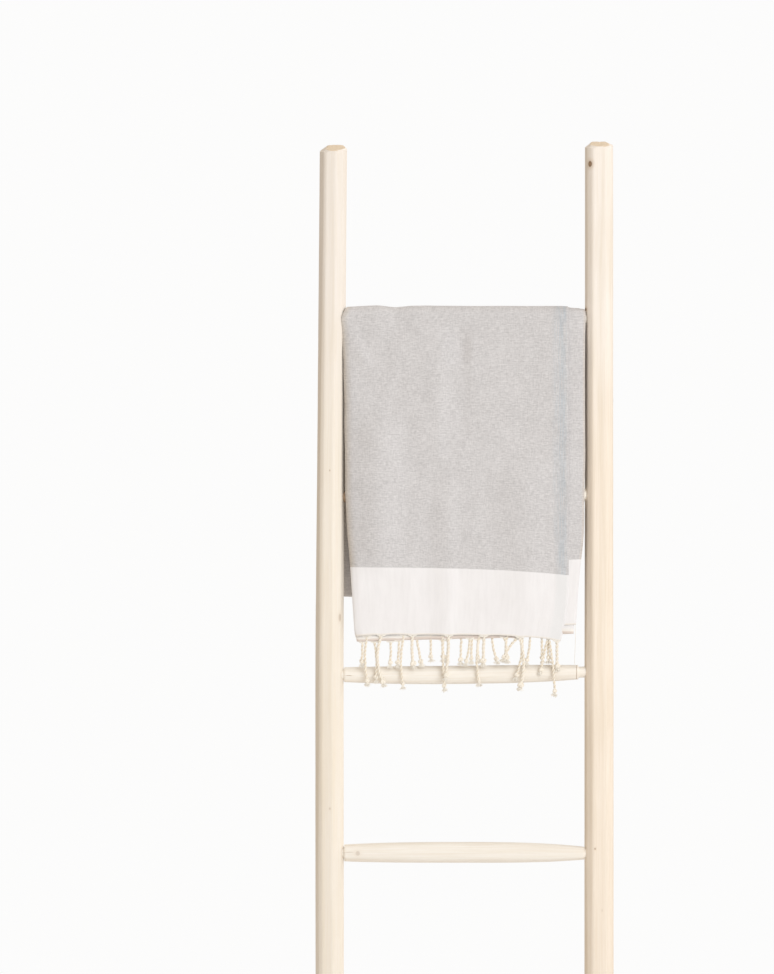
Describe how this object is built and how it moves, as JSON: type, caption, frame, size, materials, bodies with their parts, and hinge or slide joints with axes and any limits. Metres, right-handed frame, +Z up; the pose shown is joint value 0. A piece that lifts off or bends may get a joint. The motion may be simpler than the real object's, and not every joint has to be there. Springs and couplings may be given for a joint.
{
  "type": "hammam towel on a leaning ladder",
  "caption": "Grey hammam towel with white ends and knotted fringes, folded lengthwise and across, hung over the top rung of a slim peeled-wood ladder that leans on a wall.",
  "frame": {"origin": "centre of the footprint's bounding box, on the floor", "axes": "+X to the right seen from the front, -Y to the front, +Y to the wall that the ladder leans on, +Z up"},
  "size_m": [0.4582, 0.1252, 1.6463],
  "materials": {
    "grey_cotton": "plain weave of grey and white yarn, with a white band at either end",
    "cream_cord": "unbleached twisted cotton cords, knotted",
    "peeled_wood": "pale, peeled and sanded, bare"
  },
  "bodies": {
    "root": {"towel": "grey_cotton", "fringe_front": "cream_cord", "fringe_inner": "cream_cord", "stile_left": "peeled_wood", "stile_right": "peeled_wood", "rung_1": "peeled_wood", "rung_2": "peeled_wood", "rung_3": "peeled_wood", "rung_4": "peeled_wood", "rung_5": "peeled_wood"}
  },
  "joints": []
}
